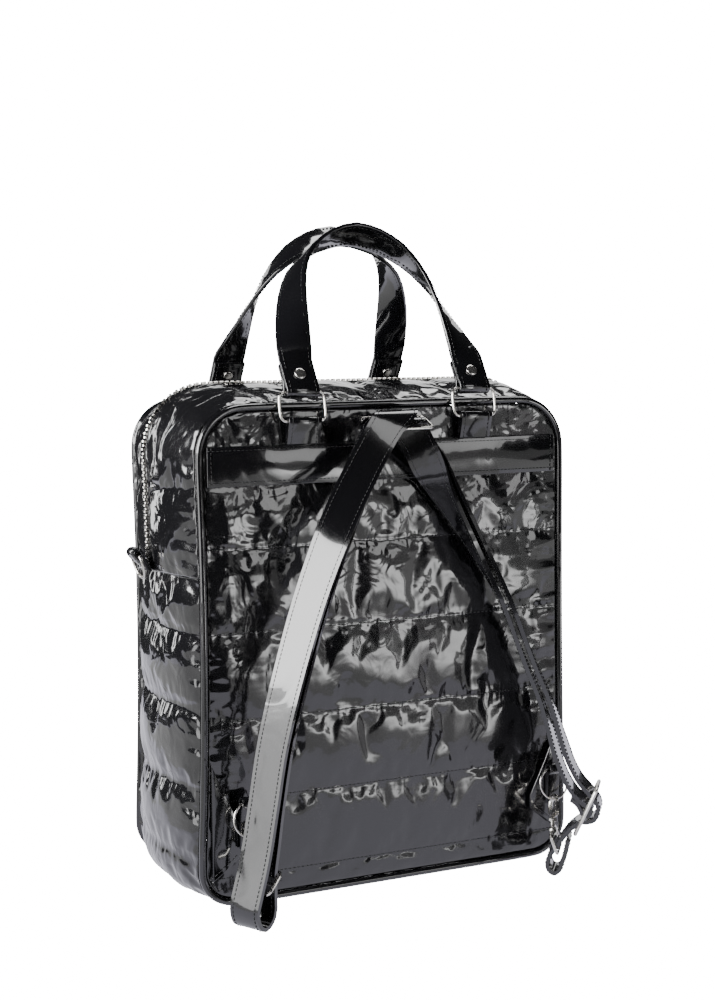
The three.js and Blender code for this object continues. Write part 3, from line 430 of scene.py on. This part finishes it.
# Piping round both panels: a cord wrapped in the trim's vinyl and sewn into the seam. It keeps its
# CAD route and is rounded along its length.
trim_vinyl = vinyl("trim vinyl", (0.004, 0.004, 0.005), 0.10, 24, 0.5, slack=0.6)


def welded(node, quads=True):
    """Joined mesh of a CAD node."""
    bm = bmesh.new()
    bm.from_mesh(nodes[node].data)
    bmesh.ops.remove_doubles(bm, verts=bm.verts, dist=2e-6)
    if quads:
        bmesh.ops.join_triangles(
            bm, faces=bm.faces, angle_face_threshold=math.pi, angle_shape_threshold=math.pi,
        )
    return bm


def made(name, bm):
    mesh = bpy.data.meshes.new(name)
    bm.to_mesh(mesh)
    bm.free()
    obj = bpy.data.objects.new(name, mesh)
    bpy.context.collection.objects.link(obj)
    return obj


def rounded(node, material, levels=2):
    """A piece of round section, smoothed from its CAD node."""
    obj = finished(made(f"{node}_smooth", welded(node)), material, levels)
    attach(obj, "bag")
    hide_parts(node)


for node in ("back_piping", "front_piping"):
    rounded(node, trim_vinyl)

# Bands across the panels and the folded tabs that hold the rings: cut from flat vinyl, folded over
# and sewn down beside their edges with waxed thread.
SQUARE_EDGE = math.radians(55)
SHORTEST_STITCHED = 0.0016
STITCHED_WIDTH = 0.012
STITCH_PITCH, STITCH_LENGTH, THREAD_RADIUS = 0.0031, 0.0022, 0.00032
STITCH_SIDES = 5
STITCH_PROFILE = ((-0.5, 0.25), (-0.32, 0.9), (0.32, 0.9), (0.5, 0.25))
STITCH_INSET, STITCH_LIFT = 0.0028, 0.0002

thread = bpy.data.materials.new("waxed thread")
thread.use_nodes = True
thread_shader = thread.node_tree.nodes["Principled BSDF"]
thread_shader.inputs["Base Color"].default_value = (0.012, 0.012, 0.013, 1)
thread_shader.inputs["Roughness"].default_value = 0.45
thread_twist = thread.node_tree.nodes.new("ShaderNodeTexWave")
thread_twist.inputs["Scale"].default_value = 900
thread_bump = thread.node_tree.nodes.new("ShaderNodeBump")
thread_bump.inputs["Strength"].default_value = 0.4
thread_bump.inputs["Distance"].default_value = 0.0002
thread.node_tree.links.new(thread_twist.outputs["Fac"], thread_bump.inputs["Height"])
thread.node_tree.links.new(thread_bump.outputs["Normal"], thread_shader.inputs["Normal"])


def edged(obj, width, segments, angle):
    """Smooth shading with a small rounding on the sharp edges."""
    for face in obj.data.polygons:
        face.use_smooth = True
    bevel = obj.modifiers.new("edge", "BEVEL")
    bevel.width = width
    bevel.segments = segments
    bevel.limit_method = "ANGLE"
    bevel.angle_limit = math.radians(angle)
    bevel.harden_normals = True


def crisp(node, material, width=0.0005, body="bag"):
    """A cut or pressed piece: its CAD shape with a small rounded edge."""
    obj = made(f"{node}_edged", welded(node, quads=False))
    obj.data.materials.clear()
    obj.data.materials.append(material)
    edged(obj, width, 2, 38)
    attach(obj, body)
    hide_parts(node)


def one_stitch(points, faces, place, along, out, length):
    """Adds one bead of thread that dips at both ends."""
    side = out.cross(along).normalized()
    base = len(points)
    for share, thick in STITCH_PROFILE:
        for k in range(STITCH_SIDES):
            angle = 2 * math.pi * k / STITCH_SIDES
            offset = side * math.cos(angle) + out * math.sin(angle)
            points.append(place + along * (share * length) + offset * (thick * THREAD_RADIUS))
    rings = len(STITCH_PROFILE) - 1
    for ring in range(rings):
        for k in range(STITCH_SIDES):
            low, high = base + ring * STITCH_SIDES, base + (ring + 1) * STITCH_SIDES
            after = (k + 1) % STITCH_SIDES
            faces.append((low + k, low + after, high + after, high + k))
    faces.append(tuple(base + k for k in reversed(range(STITCH_SIDES))))
    faces.append(tuple(base + rings * STITCH_SIDES + k for k in range(STITCH_SIDES)))


def stitches(name, rows, pitch=STITCH_PITCH, length=STITCH_LENGTH):
    """Thread stitches at an even pitch along rows of (point, normal)."""
    points, faces = [], []
    for row in rows:
        travelled, next_at = 0.0, pitch / 2
        if len(row) == 2:
            run = (row[1][0] - row[0][0]).length
            next_at = (run - pitch * (max(round(run / pitch), 1) - 1)) / 2
        for (a, out), (b, _) in zip(row, row[1:]):
            step = (b - a).length
            while step > 1e-9 and next_at <= travelled + step:
                place = a.lerp(b, (next_at - travelled) / step)
                one_stitch(points, faces, place, (b - a).normalized(), out, length)
                next_at += pitch
            travelled += step
    mesh = bpy.data.meshes.new(name)
    mesh.from_pydata(points, [], faces)
    obj = bpy.data.objects.new(name, mesh)
    bpy.context.collection.objects.link(obj)
    mesh.materials.append(thread)
    for face in mesh.polygons:
        face.use_smooth = True
    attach(obj, "bag")


def edge_threads(node):
    """Stitch rows beside the long square edges of a flat CAD piece, one short row for each edge."""
    bm = welded(node, quads=False)
    bm.normal_update()
    found = []
    for edge in bm.edges:
        if len(edge.link_faces) != 2 or edge.calc_face_angle() < SQUARE_EDGE:
            continue
        if edge.calc_length() < SHORTEST_STITCHED:
            continue
        a, b = (v.co for v in edge.verts)
        along = (b - a).normalized()
        reach = []
        for face in edge.link_faces:
            tip = next(v.co for v in face.verts if v not in edge.verts) - a
            reach.append((tip - along * tip.dot(along)).length)
        wide, narrow = (0, 1) if reach[0] > reach[1] else (1, 0)
        if reach[wide] < STITCHED_WIDTH or reach[narrow] > STITCHED_WIDTH:
            continue
        normal = edge.link_faces[wide].normal.copy()
        inward = -edge.link_faces[narrow].normal
        offset = inward * STITCH_INSET + normal * STITCH_LIFT
        found.append([(a + offset, normal), (b + offset, normal)])
    bm.free()
    return found


for node in nodes:
    if node.endswith(("_band", "_tab", "_tab_a", "_tab_b", "_ring_loop")):
        crisp(node, trim_vinyl)
    if node.endswith(("_band", "_tab", "_tab_a", "_tab_b")):
        stitches(f"{node}_stitches", edge_threads(node))

# Seams of the quilting: the same thread, sewn level across both panels through vinyl and wadding.
seam_threads = []
for facing in (-1, 1):
    for z in PANEL_SEAMS[1:6]:
        out = Vector((0, facing, 0))
        seam = []
        for share in (-1, -0.5, 0, 0.5, 1):
            x = share * rim_half(z) * width_share(z, share)
            seam.append((Vector((x, facing * (DEPTH / 2 + 0.0003), z)), out))
        seam_threads.append(seam)
stitches("quilt_seam_stitches", seam_threads, pitch=0.0034, length=0.0024)

# Zip over the top from side to side: a tape between the two strips, a row of polished steel teeth
# that mesh in turn from both sides, and the slider at the hidden end.
TOOTH_PITCH = 0.0022
TOOTH_LEAD = 0.001
TOOTH_SINK = 0.0008
TOOTH_SHIFT = 0.0011
TOOTH_HALF_LENGTH = 0.0007
TOOTH_LAYERS = ((-0.0013, 0.0019), (0.0007, 0.0016), (0.0012, 0.0010))

steel = bpy.data.materials.new("polished steel")
steel.use_nodes = True
steel_shader = steel.node_tree.nodes["Principled BSDF"]
steel_shader.inputs["Base Color"].default_value = (0.72, 0.70, 0.66, 1)
steel_shader.inputs["Metallic"].default_value = 1
steel_crumples = steel.node_tree.nodes.new("ShaderNodeGroup")
steel_crumples.node_tree = CRUMPLES
steel_crumples.inputs["Size"].default_value = 260
steel_rough = steel.node_tree.nodes.new("ShaderNodeMapRange")
steel_rough.inputs["To Min"].default_value = 0.14
steel_rough.inputs["To Max"].default_value = 0.34
steel.node_tree.links.new(steel_crumples.outputs["Smudge"], steel_rough.inputs["Value"])
steel.node_tree.links.new(steel_rough.outputs[0], steel_shader.inputs["Roughness"])


def one_tooth(points, faces, along, shift):
    """Adds one tooth, square at its foot and narrower at its crown."""
    base, normal = edge_at(along)
    onward = edge_at(along + 0.0005)[0] - edge_at(along - 0.0005)[0]
    onward.normalize()
    centre = base + normal * (full_swell(along) - TOOTH_SINK)
    start = len(points)
    for rise, half_wide in TOOTH_LAYERS:
        for across_zip, along_zip in ((-1, -1), (1, -1), (1, 1), (-1, 1)):
            corner = centre + normal * rise + onward * (along_zip * TOOTH_HALF_LENGTH)
            points.append(Vector((corner.x, shift + across_zip * half_wide, corner.z)))
    for ring in (0, 4):
        for i in range(4):
            a, b = start + ring + i, start + ring + (i + 1) % 4
            faces.append((a, b, b + 4, a + 4))
    faces.append((start + 3, start + 2, start + 1, start))
    faces.append(tuple(start + 8 + i for i in range(4)))


crisp("zip_tape", trim_vinyl, 0.0002)
crisp("zip_slider", steel, 0.0003)
teeth_points, teeth_faces = [], []
for k in range(int(2 * (TOP_MIDDLE - UPPER_START) / TOOTH_PITCH)):
    along = UPPER_START + TOOTH_LEAD + k * TOOTH_PITCH
    along = along if along < TOP_MIDDLE else along - 2 * TOP_MIDDLE
    one_tooth(teeth_points, teeth_faces, along, TOOTH_SHIFT if k % 2 else -TOOTH_SHIFT)
teeth_mesh = bpy.data.meshes.new("zip_teeth_row")
teeth_mesh.from_pydata(teeth_points, [], teeth_faces)
teeth = bpy.data.objects.new("zip_teeth_row", teeth_mesh)
bpy.context.collection.objects.link(teeth)
teeth_mesh.materials.append(steel)
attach(teeth, "bag")
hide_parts("zip_teeth")

# Two carry handles: stitched strips of vinyl folded round wire rings on the bands' tabs, and closed
# with a rivet at each foot.
for node in nodes:
    if node.endswith("_handle"):
        crisp(node, trim_vinyl)
        stitches(f"{node}_stitches", edge_threads(node))
    elif "_handle_ring_" in node or "_rivet_" in node:
        rounded(node, steel)

# Shoulder strap: one long strip of doubled vinyl, sewn along both edges, that hangs from a ring on
# the back band and runs through a slider. Its CAD rings of four corners are joined by a smooth sweep.
STRAP_STEPS = 4
STRAP_EDGE = 0.0006


def section_rows(node):
    """Rings of four corners along a strip's CAD node, from one end to the other."""
    bm = welded(node, quads=False)
    near = {v: {e.other_vert(v) for e in v.link_edges} for v in bm.verts}
    for edge in bm.edges:
        cap = {v for f in edge.link_faces for v in f.verts}
        beyond = set().union(*(near[v] for v in cap)) - cap
        if len(beyond) == 4:
            break
    a, b = edge.verts
    c, d = cap - {a, b}
    rows, seen, ring = [], set(), [a, c, b, d]
    while True:
        rows.append([v.co.copy() for v in ring])
        seen.update(ring)
        beyond = set().union(*(near[v] for v in ring)) - seen
        if len(beyond) != 4:
            break
        ring = min(
            itertools.permutations(beyond),
            key=lambda order: sum((p.co - q.co).length_squared for p, q in zip(ring, order)),
        )
    bm.free()
    return rows


def wide_first(rings):
    """Corners in order so that the first two are across the width."""
    ring = rings[0]
    if (ring[0] - ring[1]).length < (ring[0] - ring[3]).length:
        return [[r[1], r[2], r[3], r[0]] for r in rings]
    return rings


def spline(points, steps):
    """Smooth row of points through the given ones."""
    out = []
    for i in range(len(points) - 1):
        p0, p1 = points[max(i - 1, 0)], points[i]
        p2, p3 = points[i + 1], points[min(i + 2, len(points) - 1)]
        for k in range(steps):
            t = k / steps
            out.append(
                0.5 * (2 * p1 + (p2 - p0) * t + (2 * p0 - 5 * p1 + 4 * p2 - p3) * t * t
                       + (3 * p1 - p0 - 3 * p2 + p3) * t ** 3)
            )
    return out + [points[-1]]


def sweep(name, corners, material):
    """Strip through rings of corners, with its long edges rounded."""
    mesh = bpy.data.meshes.new(name)
    points = [p for ring in corners for p in ring]
    faces = [
        (k * 4 + i, k * 4 + (i + 1) % 4, (k + 1) * 4 + (i + 1) % 4, (k + 1) * 4 + i)
        for k in range(len(corners) - 1) for i in range(4)
    ]
    last = 4 * (len(corners) - 1)
    faces += [(3, 2, 1, 0), (last, last + 1, last + 2, last + 3)]
    mesh.from_pydata(points, [], faces)
    bm = bmesh.new()
    bm.from_mesh(mesh)
    bmesh.ops.recalc_face_normals(bm, faces=bm.faces)
    bm.to_mesh(mesh)
    bm.free()
    obj = bpy.data.objects.new(name, mesh)
    bpy.context.collection.objects.link(obj)
    mesh.materials.append(material)
    edged(obj, STRAP_EDGE, 3, 50)
    return obj


def edge_stitches(rings):
    """Stitch rows beside both long edges and on both faces of a strip."""
    found = []
    for a, b, c in ((0, 1, 3), (1, 0, 2), (3, 2, 0), (2, 3, 1)):
        row = []
        for ring in rings:
            inward = (ring[b] - ring[a]).normalized()
            normal = (ring[a] - ring[c]).normalized()
            row.append((ring[a] + inward * STITCH_INSET + normal * STITCH_LIFT, normal))
        found.append(row)
    return found


strap_rings = wide_first(section_rows("shoulder_strap"))
columns = [spline([ring[i] for ring in strap_rings], STRAP_STEPS) for i in range(4)]
strap_rings = [list(ring) for ring in zip(*columns)]
strap = sweep("shoulder_strap_sweep", strap_rings, trim_vinyl)
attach(strap, "bag")
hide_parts("shoulder_strap")
stitches("shoulder_strap_stitches", edge_stitches(strap_rings))
rounded("strap_ring", steel)
crisp("strap_slider", steel, 0.0003)

# Hooks and rings at the lower corners, and the D-rings beside the ends of the zip: polished steel,
# bent from wire or die cast. Each hook has a spring lever that turns on a body of its own.
for side in ("left", "right"):
    for piece in ("hook_body", "hook_eye"):
        crisp(f"{side}_{piece}", steel, 0.0003)
    crisp(f"{side}_hook_lever", steel, 0.0003, body=f"{side}_lever")
    for piece in ("o_ring", "d_ring"):
        rounded(f"{side}_{piece}", steel)


# Plain white studio. The camera sees pure white; what the gloss mirrors is the paler floor, a pool of
# light on it, soft boxes at the left and in front at the right, and dark room between them.
def studio_sheet(name, corners, strength, seen, edge=None, tint=(1, 1, 1)):
    """Glowing sheet for the camera or for the gloss; with edge its light fades to that at its rim."""
    material = bpy.data.materials.new(name)
    material.use_nodes = True
    n, link = material.node_tree.nodes, material.node_tree.links.new
    shader = n["Principled BSDF"]
    shader.inputs["Base Color"].default_value = (0, 0, 0, 1)
    shader.inputs["Specular IOR Level"].default_value = 0
    shader.inputs["Emission Color"].default_value = (*tint, 1)
    shader.inputs["Emission Strength"].default_value = strength
    if edge is not None:
        place = n.new("ShaderNodeTexCoord")
        middle = n.new("ShaderNodeVectorMath")
        middle.operation = "DISTANCE"
        middle.inputs[1].default_value = (0.5, 0.5, 0)
        link(place.outputs["UV"], middle.inputs[0])
        fade = n.new("ShaderNodeMapRange")
        fade.interpolation_type = "SMOOTHSTEP"
        fade.inputs["From Min"].default_value = 0.18
        fade.inputs["From Max"].default_value = 0.5
        fade.inputs["To Min"].default_value = strength
        fade.inputs["To Max"].default_value = edge
        link(middle.outputs["Value"], fade.inputs["Value"])
        link(fade.outputs[0], shader.inputs["Emission Strength"])
    mesh = bpy.data.meshes.new(name)
    mesh.from_pydata(corners, [], [(0, 1, 2, 3)])
    flat = mesh.uv_layers.new(name="flat")
    for loop, uv in zip(flat.data, ((0, 0), (1, 0), (1, 1), (0, 1))):
        loop.uv = uv
    sheet = bpy.data.objects.new(name, mesh)
    bpy.context.collection.objects.link(sheet)
    mesh.materials.append(material)
    sheet.visible_camera = seen == "camera"
    sheet.visible_glossy = seen == "glossy"
    sheet.visible_diffuse = sheet.visible_shadow = sheet.visible_transmission = False


def upright(low, high, *places):
    (x0, y0), (x1, y1) = places
    return [(x0, y0, low), (x1, y1, low), (x1, y1, high), (x0, y0, high)]


def level(height, *places):
    return [(x, y, height) for x, y in places]


studio_sheet("floor_seen", level(-0.0012, (-7, -5), (8, -5), (8, 9), (-7, 9)), 20, "camera")
studio_sheet("backdrop_seen", upright(-3, 8, (-5.0, 6.4), (8.0, 0.4)), 20, "camera")
near_floor = level(-0.0010, (-1.9, -0.66), (2.5, -0.66), (2.5, 1.0), (-1.9, 1.0))
studio_sheet("near_floor", near_floor, 1.1, "glossy", tint=(0.90, 0.89, 1.0))
left_floor = level(-0.0009, (-3.4, -1.2), (-0.32, -1.2), (-0.32, 0.8), (-3.4, 0.8))
studio_sheet("left_floor", left_floor, 0.8, "glossy")
right_floor = level(-0.0010, (0.50, -0.66), (1.28, -2.2), (2.6, -2.2), (2.6, -0.66))
studio_sheet("right_floor", right_floor, 0.9, "glossy")
pool = level(-0.0008, (0.02, -0.45), (0.55, -0.45), (1.42, -2.2), (0.55, -2.2))
studio_sheet("pool_of_light", pool, 7, "glossy", edge=0.7)
studio_sheet("front_wall", upright(0, 0.5, (0.8, -2.3), (2.8, -2.3)), 0.4, "glossy")
studio_sheet("left_card", upright(0, 0.42, (-1.36, -1.1), (-1.36, 0.12)), 4.2, "glossy")
studio_sheet("back_wall", upright(0, 1.6, (0.35, 3.0), (2.8, 2.4)), 1.3, "glossy")
overhead = level(1.9, (0.3, 0.2), (1.4, 0.2), (1.4, 1.3), (0.3, 1.3))
studio_sheet("overhead", overhead, 5, "glossy")
studio_sheet("back_card", upright(0.1, 1.2, (-1.05, 1.5), (-0.8, 1.6)), 5, "glossy")
# An unlit strip laid over the floor sheets and seen only by the gloss: painted shade, which the bag mirrors
# as a dark band.
floor_shade_strip = level(-0.0006, (0.205, -0.27), (0.25, -0.27), (1.38, -2.2), (1.28, -2.2))
studio_sheet("painted_floor_shade", floor_shade_strip, 0, "glossy")

world = bpy.data.worlds.new("studio")
world.use_nodes = True
world.node_tree.nodes["Background"].inputs["Color"].default_value = (0.03, 0.03, 0.032, 1)
bpy.context.scene.world = world


def soft_light(name, place, towards, wide, high, radiance):
    data = bpy.data.lights.new(name, "AREA")
    data.shape = "RECTANGLE"
    data.size, data.size_y, data.energy = wide, high, radiance * math.pi * wide * high
    lamp = bpy.data.objects.new(name, data)
    lamp.location = place
    lamp.rotation_mode = "QUATERNION"
    lamp.rotation_quaternion = (Vector(towards) - Vector(place)).to_track_quat("-Z", "Y")
    bpy.context.collection.objects.link(lamp)


soft_light("left_box", (-1.3, -0.35, 0.77), (0, -0.35, 0.6), 1.5, 0.7, 17)
soft_light("front_box", (0.95, -2.4, 0.80), (0, 0, 0.3), 0.9, 0.8, 3)
soft_light("top_box", (0.1, 0.3, 2.0), (0, 0, 0.3), 0.5, 0.5, 10)
